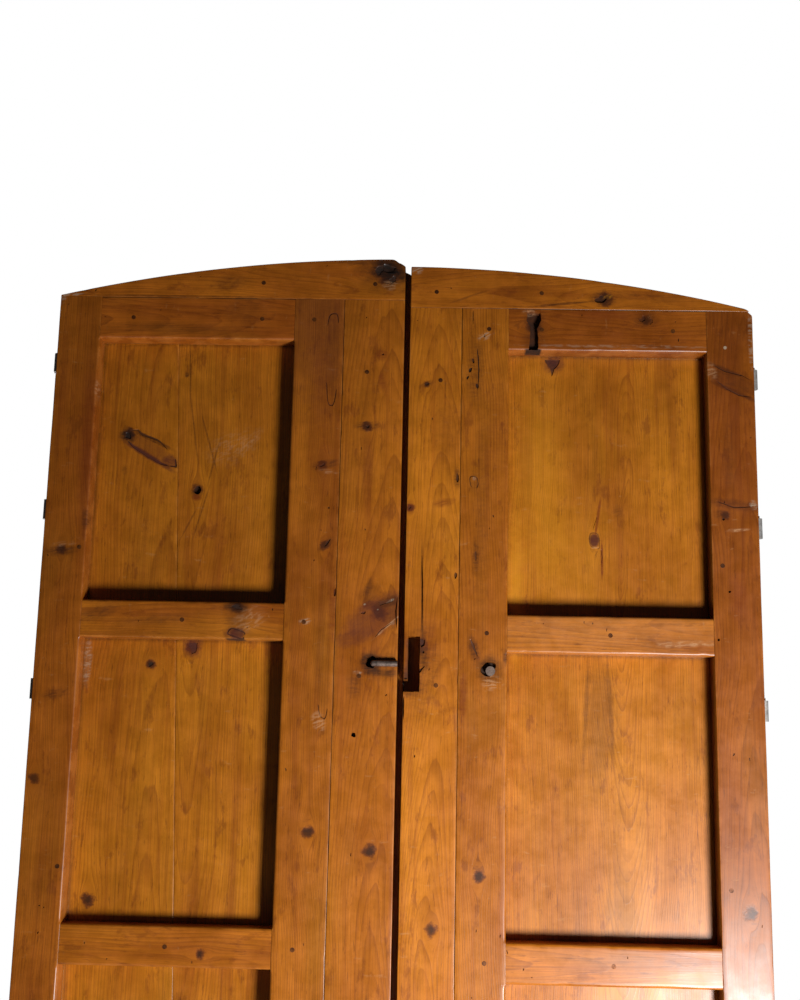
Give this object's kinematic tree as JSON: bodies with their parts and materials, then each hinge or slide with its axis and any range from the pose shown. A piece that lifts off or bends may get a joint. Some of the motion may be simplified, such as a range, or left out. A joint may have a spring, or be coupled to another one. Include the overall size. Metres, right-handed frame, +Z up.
{
  "type": "arched double door",
  "caption": "Segmental-arched pair of pine door leaves, framed and nailed over upright boards, swinging on forged eyes and wall pintles.",
  "frame": {"origin": "middle of the bounding box's base, at the foot of the right leaf", "axes": "+Z up, the framed inner face looks along -Y, +X towards the right leaf as seen from the inner face"},
  "size_m": [1.35, 0.1587, 2.4929],
  "materials": {
    "frame_pine": "worn gloss varnish on pine",
    "head_pine": "darkened gloss varnish on pine",
    "board_pine": "gloss varnish on knotty pine",
    "forged_iron": "old forged iron",
    "nail_iron": "dark nail heads"
  },
  "bodies": {
    "wall_pintles": {"left_pintle_1": "forged_iron", "left_pintle_2": "forged_iron", "left_pintle_3": "forged_iron", "left_pintle_4": "forged_iron", "left_pintle_5": "forged_iron", "right_pintle_1": "forged_iron", "right_pintle_2": "forged_iron", "right_pintle_3": "forged_iron", "right_pintle_4": "forged_iron", "right_pintle_5": "forged_iron"},
    "left_leaf": {"left_hinge_stile": "frame_pine", "left_inner_stile": "frame_pine", "left_meeting_stile": "frame_pine", "left_top_rail": "head_pine", "left_mid_rail_1": "frame_pine", "left_mid_rail_2": "frame_pine", "left_mid_rail_3": "frame_pine", "left_bottom_rail": "frame_pine", "left_head_board": "head_pine", "left_outer_board": "board_pine", "left_middle_board": "board_pine", "left_closing_board": "board_pine", "left_nails": "nail_iron", "left_latch_rod": "forged_iron", "left_eye_1": "forged_iron", "left_eye_2": "forged_iron", "left_eye_3": "forged_iron", "left_eye_4": "forged_iron", "left_eye_5": "forged_iron"},
    "right_leaf": {"right_hinge_stile": "frame_pine", "right_inner_stile": "frame_pine", "right_meeting_stile": "frame_pine", "right_top_rail": "head_pine", "right_mid_rail_1": "frame_pine", "right_mid_rail_2": "frame_pine", "right_mid_rail_3": "frame_pine", "right_bottom_rail": "frame_pine", "right_head_board": "head_pine", "right_outer_board": "board_pine", "right_middle_board": "board_pine", "right_closing_board": "board_pine", "right_nails": "nail_iron", "right_bolt_stub": "forged_iron", "right_eye_1": "forged_iron", "right_eye_2": "forged_iron", "right_eye_3": "forged_iron", "right_eye_4": "forged_iron", "right_eye_5": "forged_iron"}
  },
  "joints": [
    {"name": "left_leaf_swing", "type": "hinge", "parent": "wall_pintles", "child": "left_leaf", "pos_m": [-0.6655, -0.01565, 1.2], "axis": [0, 0, -1], "range_deg": [0, 105]},
    {"name": "right_leaf_swing", "type": "hinge", "parent": "wall_pintles", "child": "right_leaf", "pos_m": [0.6655, -0.01565, 1.2], "axis": [0, 0, 1], "range_deg": [0, 105]}
  ]
}
